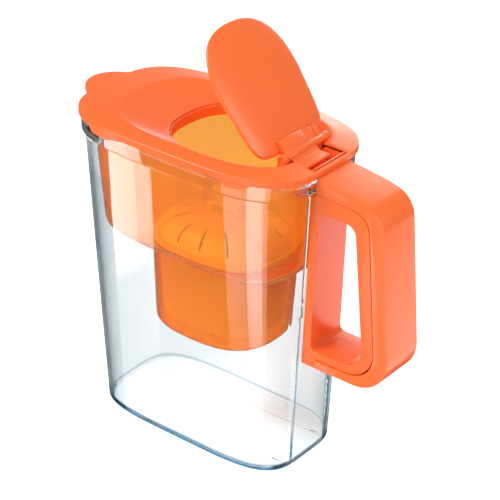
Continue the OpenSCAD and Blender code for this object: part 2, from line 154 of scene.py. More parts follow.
def softbox(name, place, aim, width, height, watts, only_mirrored=False):
    """An area lamp that faces a point, and that may be seen only as a mirror image."""
    bpy.ops.object.light_add(type="AREA")
    lamp = bpy.context.object
    lamp.name = name
    lamp.data.shape = "RECTANGLE"
    lamp.data.size = width
    lamp.data.size_y = height
    lamp.data.energy = watts
    away = Vector(place) - Vector(aim)
    facing = away.to_track_quat("Z", "Y").to_matrix().to_4x4()
    lamp.matrix_world = Matrix.Translation(place) @ facing
    if only_mirrored:
        lamp.visible_diffuse = False
        lamp.visible_transmission = False
        lamp.visible_volume_scatter = False
    lamp.visible_camera = False
    return lamp


softbox("key_softbox", (-0.9, -1.3, 1.7), (0, 0, 0.15), 1.4, 1.4, 28)
softbox("rim_softbox", (-1.07, -0.99, 1.63), (0, 0, 0.25), 0.6, 0.6, 26, True)
softbox("side_softbox", (1.7, 0.2, 1.0), (0.05, 0, 0.15), 1.0, 1.6, 8)

CARD_DISTANCE = 2.0


def card(name, start, end, low, high, radiance, fade=None):
    """An upright lamp, seen only as a mirror image, that fills the directions from start to end,
    in degrees from +X, between two heights in metres. With a fade (height, height, share) it
    dims from the upper of those heights to a share of its light at the lower."""
    middle, half = math.radians((start + end) / 2), math.radians((end - start) / 2)
    width, height = 2 * CARD_DISTANCE * math.sin(half), high - low
    reach, z = CARD_DISTANCE * math.cos(half), (low + high) / 2
    place = (reach * math.cos(middle), reach * math.sin(middle), z)
    watts = 4 * width * height * radiance
    lamp = softbox(name, place, (0, 0, z), width, height, watts, True)
    if fade:
        lamp.data.use_nodes = True
        tree = lamp.data.node_tree
        spot = add_node(tree, "ShaderNodeNewGeometry")
        across = add_node(tree, "ShaderNodeSeparateXYZ", None, {0: spot.outputs["Parametric"]})
        share = add_node(tree, "ShaderNodeMapRange",
                         {"interpolation_type": "SMOOTHSTEP", "From Min": (fade[0] - low) / height,
                          "From Max": (fade[1] - low) / height, "To Min": fade[2], "To Max": 1.0},
                         {"Value": across.outputs[1]})
        tree.links.new(share.outputs[0], tree.nodes["Emission"].inputs["Strength"])


# The streaks' cards hang below floor level, since an upright wall seen from above mirrors what
# lies below it.
STREAK = (-1.75, -0.78)
LEFT_FADE = (-1.22, -1.1, 0.12)
NEAR_FADE = (-1.5, -1.1, 0.06)
card("left_streak", -150, -135.5, *STREAK, 8.2, LEFT_FADE)
card("left_streak_edge", -135.5, -132.2, *STREAK, 6.0, LEFT_FADE)
card("near_streak_dim", -112, -90, *STREAK, 2.6, NEAR_FADE)
card("near_streak", -90, -64, *STREAK, 7.9, NEAR_FADE)
card("near_streak_end", -64, -54, *STREAK, 3.0, NEAR_FADE)
card("back_card", 88, 150, -0.45, 0.52, 1.9)
card("band_card", 84, 120, 0.52, 1.0, 4.2)
card("top_card", 90, 116, 1.1, 2.0, 1.6)
card("flap_card", 2, 30, 0.75, 1.5, 3.5)
card("right_card", 25, 70, -1.8, -0.5, 1.4)

FLOOR_SIZE = 6
FLOOR_GAP = 0.0004
# How much light of its own the floor adds where it is seen directly, where it is seen through
# the plastic, and where it lights what stands inside the plastic.
FLOOR_SEEN = 0.37
FLOOR_THROUGH = 0.08
FLOOR_INSIDE = 2.0

bpy.ops.object.select_all(action="DESELECT")
bpy.ops.mesh.primitive_plane_add(size=FLOOR_SIZE)
floor = bpy.context.object
floor.name = "floor"
floor.location.z = -FLOOR_GAP
# Matt white paper: pale and without sheen, so it shows the shadow and no mirror image. It is
# left out of mirror images, so that the streaks' cards reach the walls from below.
paper = bpy.data.materials.new("white_paper")
paper.use_nodes = True
tree = paper.node_tree
tree.nodes.clear()
seen, mirrored, inside = ray_kinds(tree)
direct = add_node(tree, "ShaderNodeLightPath").outputs["Is Camera Ray"]
matte = add_node(tree, "ShaderNodeBsdfDiffuse", {"Color": srgb("#F4F5F6")})
through = add_node(tree, "ShaderNodeMath", {"operation": "MULTIPLY", 1: FLOOR_THROUGH}, {0: seen})
fill = add_node(tree, "ShaderNodeMath", {"operation": "MULTIPLY_ADD", 1: FLOOR_INSIDE},
                {0: inside, 2: through.outputs[0]})
lift = add_node(tree, "ShaderNodeMath", {"operation": "MULTIPLY_ADD", 1: FLOOR_SEEN},
                {0: direct, 2: fill.outputs[0]})
glow = add_node(tree, "ShaderNodeEmission", {"Color": WHITE}, {"Strength": lift.outputs[0]})
both = add_node(tree, "ShaderNodeAddShader", None, {0: matte.outputs[0], 1: glow.outputs[0]})
unseen = add_node(tree, "ShaderNodeBsdfTransparent", {"Color": WHITE})
paper_mix = add_node(tree, "ShaderNodeMixShader", None,
                     {0: mirrored, 1: both.outputs[0], 2: unseen.outputs[0]})
add_node(tree, "ShaderNodeOutputMaterial", None, {"Surface": paper_mix.outputs[0]})
floor.data.materials.append(paper)

# --- Clear jug --------------------------------------------------------------------------------
# One injection-moulded wall of clear styrene plastic, 2.5 mm thick, with a thicker base, a
# collar that steps out under the lid, a pouring lip drawn out at the spout end, and a raised
# pad on the other end wall for the handle.

JUG_WALL = 2.5
# An outline is (centre x, half length, half width, squareness at the spout end, height,
# squareness at the handle end, taper towards the handle end), in millimetres.
FOOT = (0.3, 87, 47.5, 4.1, 0, 4.1, 0)
NECK = (-6.6, 98.5, 59.6, 3.45, 232, 3.45, 0)
COLLAR_LOW = (-6.4, 101.8, 61.5, 3.4, 232, 3.4, 0)
LID_RIM = (-6.3, 103.8, 63.3, 3.4, 250, 3.4, 0)
PAD_EDGE = 19.7
PAD_OUT = 1.6
RIB_EDGE = 21.65
RIB_OUT = 0.8
LIP_HALF = 19
LIP_OUT = 11


def inset(r, d, z):
    """An outline made smaller by d all round, at another height."""
    return (r[0], r[1] - d, r[2] - d, r[3], z, r[5], r[6])


def between(p, q, z):
    """The outline between two others at a height."""
    f = (z - p[4]) / (q[4] - p[4])
    return tuple(p[k] + f * (q[k] - p[k]) for k in range(7))


def angles_round(r, count):
    """Directions round an outline, closer together at its corners."""
    n = max(r[3], r[5])
    u = np.linspace(0, 2 * math.pi, count, endpoint=False)
    x = r[1] * np.sign(np.cos(u)) * np.abs(np.cos(u)) ** (2 / n)
    y = r[2] * np.sign(np.sin(u)) * np.abs(np.sin(u)) ** (2 / n)
    both = np.sort(np.concatenate([np.arctan2(y, x) % (2 * math.pi), u + 0.3 * math.pi / count]))
    return both[np.append(True, np.diff(both) > 0.4 * math.pi / count)]


def oval(r, t):
    """The points of an outline in the directions t."""
    xc, a, b, n_left, z, n_right, taper = r
    c, s = np.cos(t), np.sin(t)
    n = np.where(c > 0, n_right, n_left)
    far = (np.abs(c / a) ** n + np.abs(s / b) ** n) ** (-1 / n)
    x = far * c
    narrow = 1 - taper * np.maximum(0, x) / a
    return np.stack([xc + x, far * s * narrow, np.full(len(t), z)], 1)


def nosed(points, half, out, up):
    """An outline pulled out and raised at the spout end."""
    points = points.copy()
    k = np.clip(1 - (points[:, 1] / half) ** 2, 0, None) ** 0.75 * (points[:, 0] < 0)
    points[:, 0] -= out * k
    points[:, 2] += up * k
    return points


BEND_STEPS = 4
# The most of the way to the next outline that a rounding may take, and the outline beside it.
BEND_SHARE = 0.42
HOLD_SHARE = 0.48


def soften(rings, radii):
    """Rounds the corners of a stack of outlines, with a close outline either side of each
    rounding so that the long faces between them keep an even shine."""
    out = []
    for k, (ring, radius) in enumerate(zip(rings, radii)):
        if not radius:
            out.append(ring)
            continue
        ends, holds = [], []
        for other in (rings[k - 1], rings[(k + 1) % len(rings)]):
            way = other - ring
            length = np.linalg.norm(way, axis=1, keepdims=True)
            ends.append(ring + way / length * np.minimum(radius, BEND_SHARE * length))
            beside = np.minimum(1.15 * radius + 0.25, HOLD_SHARE * length)
            holds.append(ring + way / length * beside)
        out.append(holds[0])
        for i in range(BEND_STEPS + 1):
            f = i / BEND_STEPS
            out.append((1 - f) ** 2 * ends[0] + 2 * f * (1 - f) * ring + f * f * ends[1])
        out.append(holds[1])
    return out


MERGE_WITHIN = 2e-6


def skin(name, rings, joined=False):
    """A closed mesh over a stack of outlines, in millimetres; open stacks get flat ends."""
    n, m = len(rings[0]), len(rings)
    verts = np.concatenate(rings) * MM
    k, i = np.meshgrid(np.arange(m if joined else m - 1), np.arange(n), indexing="ij")
    a, b = k * n, (k + 1) % m * n
    j = (i + 1) % n
    faces = np.stack([a + i, a + j, b + j, b + i], 2).reshape(-1, 4).tolist()
    if not joined:
        faces += [list(range(n)), list(range((m - 1) * n, m * n))]
    mesh = bpy.data.meshes.new(name)
    mesh.from_pydata(verts.tolist(), [], faces)
    piece = bpy.data.objects.new(name, mesh)
    scene.collection.objects.link(piece)
    tidy_up(piece)
    return piece


def moulding(name, profile, joined=False):
    """A closed mesh over a profile of (outline's points, radius of the corner there)."""
    rings, radii = zip(*profile)
    return skin(name, soften(rings, radii), joined)


def tidy_up(piece):
    """Merges doubled points and turns all faces outwards."""
    bm = bmesh.new()
    bm.from_mesh(piece.data)
    bmesh.ops.remove_doubles(bm, verts=bm.verts, dist=MERGE_WITHIN)
    bmesh.ops.recalc_face_normals(bm, faces=bm.faces)
    bm.to_mesh(piece.data)
    bm.free()


def only(piece):
    """Makes a piece the one selected and active object."""
    bpy.ops.object.select_all(action="DESELECT")
    piece.select_set(True)
    bpy.context.view_layer.objects.active = piece


def modify(piece, kind, **settings):
    """Adds a modifier and applies it."""
    only(piece)
    mod = piece.modifiers.new(kind.lower(), kind)
    for name, value in settings.items():
        setattr(mod, name, value)
    bpy.ops.object.modifier_apply(modifier=mod.name)


def cut(piece, tool, operation="DIFFERENCE"):
    """Cuts one closed mesh by another, which is then dropped."""
    modify(piece, "BOOLEAN", object=tool, operation=operation, solver="EXACT")
    bpy.data.objects.remove(tool, do_unlink=True)


def join(pieces, name):
    """Joins meshes into the first one."""
    only(pieces[0])
    for piece in pieces:
        piece.select_set(True)
    bpy.ops.object.join()
    pieces[0].name = name
    return pieces[0]


def smooth(piece, degrees=32):
    """Shades a piece smooth across all but its sharper edges."""
    only(piece)
    bpy.ops.object.shade_smooth_by_angle(angle=math.radians(degrees))


def dress(piece, material, body, slot, *stands_for):
    """Gives a piece its finish, the body that it rides on and the parts that it stands for."""
    piece.data.materials.clear()
    piece.data.materials.append(material)
    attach(piece, body)
    if stands_for:
        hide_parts(*stands_for)


def new_material(name):
    """An empty material and its node tree."""
    material = bpy.data.materials.new(name)
    material.use_nodes = True
    material.node_tree.nodes.clear()
    return material, material.node_tree


TINT_START = 0.36
TINT_MIDDLE = 0.6


def clear_plastic(name, colour, edge_colours, ior, roughness, transmission=1.0):
    """See-through plastic that lets lamp light through, and whose colour deepens where a wall is
    seen edge-on, or as its attribute says, which holds thick plastic's tint together with painted
    light. Lamp light meets two faces at each wall, so one face takes the square root of the
    colour from it."""
    material, tree = new_material(name)
    through = [c ** 0.5 for c in srgb(colour)]
    facing = add_node(tree, "ShaderNodeLayerWeight", {"Blend": 0.5})
    steep = add_node(tree, "ShaderNodeMapRange", {"From Min": TINT_START, "From Max": 1.0},
                     {"Value": facing.outputs["Facing"]})
    # On the jug the attribute holds the thick foot's tint together with painted light: a painted
    # glow along the foot's near edge and painted dark lines on the ribs and round the foot.
    tint_and_painted_light = add_node(tree, "ShaderNodeAttribute", {"attribute_name": "tint_and_painted_light"})
    edge = add_node(tree, "ShaderNodeMath", {"operation": "ADD", "use_clamp": True},
                    {0: steep.outputs[0], 1: tint_and_painted_light.outputs["Fac"]})
    tint = add_node(tree, "ShaderNodeValToRGB", None, {"Fac": edge.outputs[0]})
    ramp = tint.color_ramp.elements
    ramp[0].color, ramp[1].color = srgb(colour), srgb(edge_colours[1])
    ramp.new(TINT_MIDDLE).color = srgb(edge_colours[0])
    body = add_node(tree, "ShaderNodeBsdfPrincipled",
                    {"IOR": ior, "Roughness": roughness, "Transmission Weight": transmission},
                    {"Base Color": tint.outputs["Color"]})
    shadow = add_node(tree, "ShaderNodeBsdfTransparent", {"Color": through})
    rays = add_node(tree, "ShaderNodeLightPath")
    mix = add_node(tree, "ShaderNodeMixShader", None,
                   {0: rays.outputs["Is Shadow Ray"], 1: body.outputs[0], 2: shadow.outputs[0]})
    add_node(tree, "ShaderNodeOutputMaterial", None, {"Surface": mix.outputs[0]})
    return material


# The handle's end wall, so many radians either side of +X, has its own points, close together at
# the sides of the pad and the ribs.
END_TURN = 0.3
END_Y = np.array([0, 4, 8, 12, 15, 17.5, 19, 19.5, 19.95, 21.5, 21.8, 24])
around = angles_round(NECK, 200)
around = around[(around > END_TURN) & (around < 2 * math.pi - END_TURN)]


def jug_ring(r, pad=0.0, rib=0.0):
    """An outline of the jug's wall with the handle's pad raised on it by its share, and the
    two ribs below the pad standing out by rib."""
    y = np.concatenate([-END_Y[:0:-1], END_Y])
    on_pad = np.abs(y) < PAD_EDGE
    on_rib = (np.abs(y) > PAD_EDGE) & (np.abs(y) < RIB_EDGE)
    wall = r[0] + r[1] * (1 - np.abs(y / r[2]) ** r[5]) ** (1 / r[5])
    x = wall + PAD_OUT * pad * on_pad + rib * on_rib
    end = np.stack([x, y, np.full(len(y), r[4])], 1)
    split = len(END_Y) - 1
    return np.concatenate([end[split:], oval(r, around), end[:split]])


def wall_at(z, d=0.0):
    """The jug's outer outline at a height, or the one d inside it."""
    return inset(between(FOOT, NECK, z), d, z)


def end_x(z):
    """Where the handle's end wall is at a height."""
    r = between(FOOT, NECK, z)
    return r[0] + r[1]


collar_top = inset(LID_RIM, 1.2, 246)
profile = [
    (jug_ring(inset(FOOT, 9, 0)), 0),
    (jug_ring(FOOT), 3.4),
    (jug_ring(wall_at(6)), 0),
    *((jug_ring(wall_at(z), 0, RIB_OUT), 0) for z in (7.5, 30, 60, 95)),
    (jug_ring(wall_at(130), 0, RIB_OUT), 0.3),
    (jug_ring(wall_at(131.6), 1), 0.3),
    *((jug_ring(wall_at(z), 1), 0) for z in (165, 200)),
    (jug_ring(inset(NECK, 0, 230.8), 1), 0.5),
    (nosed(jug_ring(COLLAR_LOW), LIP_HALF, LIP_OUT / 4, 0), 0.5),
    (nosed(jug_ring(inset(collar_top, 0.2, 245)), LIP_HALF, LIP_OUT, -7), 0),
    (nosed(jug_ring(inset(collar_top, 0.2, 246)), LIP_HALF, LIP_OUT, -7), 0.7),
    (nosed(jug_ring(inset(collar_top, 2.0, 246)), LIP_HALF, LIP_OUT, -7), 0.5),
    (nosed(jug_ring(inset(COLLAR_LOW, 2.3, 241)), LIP_HALF, LIP_OUT * 0.7, -4), 4),
    (jug_ring(inset(NECK, JUG_WALL, 230)), 4),
    *((jug_ring(wall_at(z, JUG_WALL)), 0) for z in (200, 165, 130, 95, 60, 30)),
    (jug_ring(wall_at(3.4, JUG_WALL)), 1.2),
    (jug_ring(inset(FOOT, 12, 3.4)), 0),
]
jug = moulding("jug_body_dressed", profile)
smooth(jug)

CORNER_IN = 2
CORNER_TOP = 4.2
FOOT_TOP = 7
FLOOR_EDGE = (1.5, 3.7)
RIB_TOP = 129.5
CLEAR_ABOVE = 226


def tint_and_painted_light_at(x, y, z):
    """How much deeper the tint is at a point: most at the foot's corner on the near side and the
    handle's end, where it is the thick foot's tint with a painted glow of light on top; less
    round the rest of the foot and on the ribs, where it draws painted dark lines. The neck and
    the collar stay clear, also edge-on."""
    if z > CLEAR_ABOVE:
        return -1.0
    at_foot = (abs((x - FOOT[0]) / (FOOT[1] - CORNER_IN)) ** FOOT[3]
               + abs(y / (FOOT[2] - CORNER_IN)) ** FOOT[3]) > 1
    if at_foot and 0.02 < z < FOOT_TOP and (y < -24 or x > 60 and y < 28):
        return 1.0 if z < CORNER_TOP else 0.55
    if at_foot and FLOOR_EDGE[0] < z < FLOOR_EDGE[1]:
        return 0.7
    if z < RIB_TOP and 19.4 < abs(y) < 21.9 and x > end_x(z) - 0.6:
        return 0.75
    return 0.0


# Writes the deeper tint, partly painted light: a painted glow on the near foot edge and painted
# dark lines on the ribs and round the foot.
tint_and_painted_light = jug.data.attributes.new("tint_and_painted_light", "FLOAT", "POINT")
for i, vert in enumerate(jug.data.vertices):
    tint_and_painted_light.data[i].value = tint_and_painted_light_at(*(vert.co / MM))
# General-purpose styrene, moulded against polished steel: as clear as glass when seen face on,
# with sharp mirror images and cool grey where a wall is seen edge-on; the sea blue on the thick
# foot's near edge is its tint with a painted glow of light on top.
clear_styrene = clear_plastic("clear_styrene", "#FAFDFE", ("#9FB6BC", "#0E6098"), 1.45, 0.02)
dress(jug, clear_styrene, "jug", "clear_plastic", "jug_body")

# --- Handle -----------------------------------------------------------------------------------
# Two moulded halves of orange ABS: an outer shell with generous rounded edges, and a flat liner
# round the finger opening. They meet in a fine joint line along both sides of the grip.

HANDLE_HALF = 18.5
HANDLE_TOP = 245.3
HANDLE_LOW = 92.8
GRIP_X = 167.0
COLLAR_X = 96.7
SHELL_FOOT_X = 102.7
LINER_FOOT_X = 102.6
WIDE_CORNER = 10


def rounded(corners, steps=10):
    """A polygon's corners (x, z, radius) turned into points, with so many steps to a quarter
    turn, or twice as many on a wide corner."""
    out = []
    for i, (x, z, r) in enumerate(corners):
        p = Vector((x, z))
        if not r:
            out.append(p)
            continue
        before, after = Vector(corners[i - 1][:2]), Vector(corners[(i + 1) % len(corners)][:2])
        u, v = (before - p).normalized(), (after - p).normalized()
        half = u.angle(v) / 2
        centre = p + (u + v).normalized() * r / math.sin(half)
        start, end = p + u * r / math.tan(half) - centre, p + v * r / math.tan(half) - centre
        swing = start.angle_signed(end)
        count = max(3, int(steps * abs(swing) / (math.pi / 2) * (1 if r < WIDE_CORNER else 2)))
        out += [centre + Matrix.Rotation(-swing * k / count, 2) @ start for k in range(count + 1)]
    return out


FLAT_WITHIN = 0.01


def slab(name, outlines, y0, y1):
    """A flat solid with an outline in the XZ plane; further outlines are openings in it."""
    curve = bpy.data.curves.new(name, "CURVE")
    curve.dimensions = "2D"
    curve.fill_mode = "BOTH"
    curve.extrude = (y1 - y0) / 2 * MM
    for points in outlines:
        line = curve.splines.new("POLY")
        line.points.add(len(points) - 1)
        for spot, p in zip(line.points, points):
            spot.co = (p[0] * MM, p[1] * MM, 0, 1)
        line.use_cyclic_u = True
    piece = bpy.data.objects.new(name, curve)
    scene.collection.objects.link(piece)
    only(piece)
    bpy.ops.object.convert(target="MESH")
    upright = Matrix.Rotation(math.radians(90), 4, "X")
    piece.data.transform(Matrix.Translation((0, (y0 + y1) / 2 * MM, 0)) @ upright)
    tidy_up(piece)
    bm = bmesh.new()
    bm.from_mesh(piece.data)
    bmesh.ops.dissolve_limit(bm, angle_limit=FLAT_WITHIN, verts=bm.verts, edges=bm.edges)
    bm.to_mesh(piece.data)
    bm.free()
    return piece


SHARP_TURN = 0.5


def round_edges(piece, width, chosen=None, segments=3, degrees=40):
    """Rounds the chosen edges, or else all that are sharper than an angle."""
    if chosen is None:
        modify(piece, "BEVEL", width=width * MM, segments=segments, limit_method="ANGLE",
               angle_limit=math.radians(degrees), harden_normals=False)
        return
    bm = bmesh.new()
    bm.from_mesh(piece.data)
    layer = bm.edges.layers.float.new("bevel_weight_edge")
    for edge in bm.edges:
        a, b = (v.co / MM for v in edge.verts)
        edge[layer] = 1.0 if edge.calc_face_angle(0) > SHARP_TURN and chosen(a, b) else 0.0
    bm.to_mesh(piece.data)
    bm.free()
    modify(piece, "BEVEL", width=width * MM, segments=segments, limit_method="WEIGHT",
           harden_normals=False)


def back_x(z):
    """Where the handle's back is at a height, just off the jug's pad."""
    return end_x(z) + PAD_OUT + 0.1


loop_outer = rounded([(COLLAR_X, HANDLE_TOP, 0.6), (130, 241, 60), (152.6, 235.8, 20),
                      (GRIP_X, HANDLE_LOW, 28), (COLLAR_X, HANDLE_LOW, 1)])
parting = [(153.5, 100.5, 22), (141, 229.1, 15)]
shell_room = rounded([(80, HANDLE_LOW - 5, 0), (SHELL_FOOT_X, HANDLE_LOW - 5, 0),
                      (SHELL_FOOT_X, 99.7, 0), (154.3, 99.7, 22), (141.8, 229.9, 15),
                      (COLLAR_X, 233.4, 0), (80, 233.4, 0)])
shell = slab("handle_shell_dressed", [loop_outer], -HANDLE_HALF, HANDLE_HALF)
round_edges(shell, 5.6, lambda a, b: abs(a.y - b.y) < 0.01 and max(a.x, b.x) > COLLAR_X + 0.3, 6)
cut(shell, slab("room", [shell_room], -30, 30))
round_edges(shell, 0.35, None, 2, 50)
smooth(shell)

liner_outline = rounded([(back_x(HANDLE_LOW), HANDLE_LOW, 0), (LINER_FOOT_X, HANDLE_LOW, 0),
                         (LINER_FOOT_X, 100.5, 0)] + parting
                        + [(COLLAR_X, 233.3, 0), (COLLAR_X, 231.7, 0), (back_x(232), 231, 0)])
window = rounded([(97.9, 106.6, 5), (143.8, 106.6, 16), (130.6, 219, 9), (99.1, 219, 5)])
liner = slab("handle_liner_dressed", [liner_outline, window], -HANDLE_HALF, HANDLE_HALF)
in_window = {(round(p[0], 2), round(p[1], 2)) for p in window}


def on_window(a, b):
    """Whether an edge runs round the finger opening."""
    return (abs(a.y - b.y) < 0.01 and (round(a.x, 2), round(a.z, 2)) in in_window
            and (round(b.x, 2), round(b.z, 2)) in in_window)


round_edges(liner, 1.5, on_window, 4)
round_edges(liner, 0.35, None, 2, 50)
smooth(liner)


def orange_plastic(name, hex_colour, roughness, grain_mm, bump):
    """Opaque moulded plastic with a fine, barely seen grain."""
    material, tree = new_material(name)
    coords = add_node(tree, "ShaderNodeTexCoord")
    grain = add_node(tree, "ShaderNodeTexNoise", {"Scale": 1 / (grain_mm * MM), "Detail": 2.0},
                     {"Vector": coords.outputs["Object"]})
    relief = add_node(tree, "ShaderNodeBump", {"Strength": bump, "Distance": 0.0002},
                      {"Height": grain.outputs["Fac"]})
    body = add_node(tree, "ShaderNodeBsdfPrincipled",
                    {"Base Color": srgb(hex_colour), "Roughness": roughness, "IOR": 1.5},
                    {"Normal": relief.outputs[0]})
    add_node(tree, "ShaderNodeOutputMaterial", None, {"Surface": body.outputs[0]})
    return material


# ABS, coloured through and moulded with a fine spark-eroded grain: an even, bright orange under
# a soft, broad sheen. The grain is drawn coarser than it is, so that it shows at all.
orange_abs = orange_plastic("orange_abs", "#FF7232", 0.28, 1.2, 0.04)
dress(shell, orange_abs, "jug", "orange_plastic", "handle_shell")
dress(liner, orange_abs, "jug", "orange_plastic", "handle_liner")

# --- Reservoir --------------------------------------------------------------------------------
# A translucent orange polypropylene funnel, 2 mm thick, that hangs in the jug by its flange.
# Its floor falls to a deep oval well with drain holes, where the filter cartridge sits.

WELL_X = 5
WELL_MOUTH = (WELL_X, 53, 44, 2.6, 155.5, 2.6, 0)
WELL_FOOT = (WELL_X, 50, 41, 2.6, 93, 2.6, 0)
RES_LOW = (-2.5, 82.5, 52.6, 4, 163.5, 4, 0)
RES_TOP = (-7.5, 88.5, 57, 3.6, 245.8, 3.6, 0)
FLANGE = (-8, 97, 60.6, 3.4, 246.1, 3.4, 0)
DRAIN_RING = (31, 23)
DRAIN_R = 3.5


def block(name, low, high):
    """A box between two corners in millimetres."""
    bpy.ops.mesh.primitive_cube_add(size=1)
    piece = bpy.context.object
    piece.name = name
    size, middle = Vector(high) - Vector(low), (Vector(low) + Vector(high)) / 2
    piece.data.transform(Matrix.Translation(middle * MM) @ Matrix.Diagonal((*(size * MM), 1)))
    return piece


def rod(name, x, z, radius, y0, y1, count=64):
    """A cylinder along Y."""
    bpy.ops.mesh.primitive_cylinder_add(vertices=count, radius=radius * MM, depth=(y1 - y0) * MM)
    piece = bpy.context.object
    piece.name = name
    piece.data.transform(Matrix.Translation(Vector((x, (y0 + y1) / 2, z)) * MM)
                         @ Matrix.Rotation(math.radians(90), 4, "X"))
    return piece


turns = angles_round(RES_TOP, 180)
profile = [
    (oval(inset(WELL_FOOT, 9, 88), turns), 0),
    (oval(inset(WELL_FOOT, 0, 88), turns), 5),
    (oval(WELL_MOUTH, turns), 1.5),
    (oval(inset(RES_LOW, 2.6, 158.9), turns), 2),
    (oval(RES_LOW, turns), 3),
    (oval(RES_TOP, turns), 0.6),
    (oval(FLANGE, turns), 0.5),
    (oval(inset(FLANGE, 0, 247.8), turns), 0.5),
    (oval(inset(RES_TOP, 2, 247.8), turns), 0.6),
    (oval(inset(RES_LOW, 2, 164.1), turns), 3),
    (oval(inset(RES_LOW, 4.4, 160.9), turns), 1.5),
    (oval(inset(WELL_MOUTH, -0.2, 157.3), turns), 0.4),
    (oval(inset(WELL_MOUTH, 2, 157.3), turns), 0.5),
    (oval(inset(WELL_FOOT, 2, 93), turns), 0),
    (oval(inset(WELL_FOOT, 2.2, 90), turns), 3),
    (oval(inset(WELL_FOOT, 9, 90), turns), 0),
]
reservoir = moulding("reservoir_dressed", profile)
cut(reservoir, block("pocket_gap", (70, -20.5, 235.6), (112, 22.5, 275)))
for t in range(0, 360, 36):
    x = WELL_X + DRAIN_RING[0] * math.cos(math.radians(t))
    y = DRAIN_RING[1] * math.sin(math.radians(t))
    bpy.ops.mesh.primitive_cylinder_add(vertices=32, radius=DRAIN_R * MM, depth=8 * MM,
                                        location=(x * MM, y * MM, 91 * MM))
    cut(reservoir, bpy.context.object)
smooth(reservoir)
# Polypropylene with an amber dye, moulded thin: clear enough to see the cartridge through, a
# little cloudy, warm yellow face on and deep orange where a wall is seen edge-on.
amber_pp = clear_plastic("amber_polypropylene", "#FFB752", ("#FF8A38", "#FF6220"), 1.36, 0.1,
                         0.9)
dress(reservoir, amber_pp, "reservoir", "amber_plastic", "reservoir")

# --- Lid --------------------------------------------------------------------------------------
# One moulding in the handle's orange plastic: a low crown with a soft ridge, a skirt over the
# jug's collar with grip ears, a nose over the pouring lip, the oval fill opening, a pocket for
# the thumb lever, and two lugs that carry the flap's hinge.

RIDGE = (-1, 80, 50.5, 3, 251.2, 3, 0)
FILL_HOLE = (18.7, 53.3, 44.3, 2.6, 246.6, 3.4, 0)
PIVOT_X = 68.5
PIVOT_Z = 250.5
BARREL_R = 3.4
LUG_NEAR = (-22, -17.2)
LUG_FAR = (24.8, 31.4)
LUG_FOOT = 243.3
BORE_R = 1.6
NOSE_HALF = 22
NOSE_OUT = 15.4
POCKET_LOW = (74, -18.5, 238)
POCKET_HIGH = (90.8, 20.5, 268)
STEP_LOW = 247.6
STEP_END = 94.5

turns = angles_round(LID_RIM, 240)


def lid_ring(d, z, up=0.0):
    """The lid's rim, nose and all, made smaller by d at a height."""
    return nosed(oval(inset(LID_RIM, d, z), turns), NOSE_HALF, NOSE_OUT, up)


profile = [
    (lid_ring(0, 244, 3.6), 0.3),
    (lid_ring(0, 249.1), 0.7),
    (oval(inset(RIDGE, -3.0, 251), turns), 0.5),
    (oval(RIDGE, turns), 1.2),
    (oval(FILL_HOLE, turns), 0.6),
    (oval(inset(FILL_HOLE, 0.1, 245.1), turns), 0.3),
    (oval(inset(FILL_HOLE, 1.8, 245.1), turns), 0.3),
    (oval(inset(FILL_HOLE, 1.9, 237.6), turns), 0.4),
    (oval(inset(FILL_HOLE, 0.3, 237.6), turns), 0.4),
    (oval(inset(FILL_HOLE, -0.6, 244), turns), 0.4),
    (oval(inset(RIDGE, -0.6, 248.5), turns), 0),
    (lid_ring(2.6, 247.9), 0.4),
    (lid_ring(1.0, 246.6), 0.4),
    (lid_ring(1.0, 244, 3.6), 0.3),
]


def clear_pocket(part, stepped=True):
    """Clears the lever's pocket, the longer step round its top, and the lever's way in. With a
    step the pocket is cut a hair narrower, so that no two cuts share a face."""
    (x0, y0, z0), (x1, y1, z1) = POCKET_LOW, POCKET_HIGH
    hair = 0.05 if stepped else 0.0
    cut(part, block("room", (x0 + hair, y0 + hair, z0), (x1, y1 - hair, z1)))
    if stepped:
        cut(part, block("step_room", (x0, y0, STEP_LOW), (STEP_END, y1, z1)))
    cut(part, block("lever_way", (69, -16.9, 243.5), (77, 20.4, 263)))


plate = moulding("lid_dressed", profile, True)
clear_pocket(plate)
round_edges(plate, 0.25, None, 2, 50)
cut(plate, block("notch", (95.4, -19.5, 242), (101.4, 19.5, 245.5)))
tray = block("tray", (72.6, -19.9, 236.6), (92.2, 21.9, 248.8))
clear_pocket(tray, stepped=False)
step = block("step", (72.6, -19.9, 246.3), (95.2, 21.9, 248.8))
clear_pocket(step)
beam = block("beam", (63.5, -22, 236.6), (74.5, 31.4, 244.3))
parts = [plate, tray, step, beam]
for part in parts[1:]:
    round_edges(part, 0.3, None, 2, 50)
lug_near_x, lug_far_x = PIVOT_X - BARREL_R, PIVOT_X + BARREL_R
lug_top, lug_round = PIVOT_Z + BARREL_R, BARREL_R - 0.01
lug_outline = rounded([(lug_near_x, LUG_FOOT, 0), (lug_far_x, LUG_FOOT, 0),
                       (lug_far_x, lug_top, lug_round), (lug_near_x, lug_top, lug_round)], 14)
for y0, y1 in (LUG_NEAR, LUG_FAR):
    lug = slab("lug", [lug_outline], y0, y1)
    cut(lug, rod("bore", PIVOT_X, PIVOT_Z, BORE_R, y0 - 1, y1 + 1, 40))
    round_edges(lug, 0.4, None, 3, 50)
    parts.append(lug)
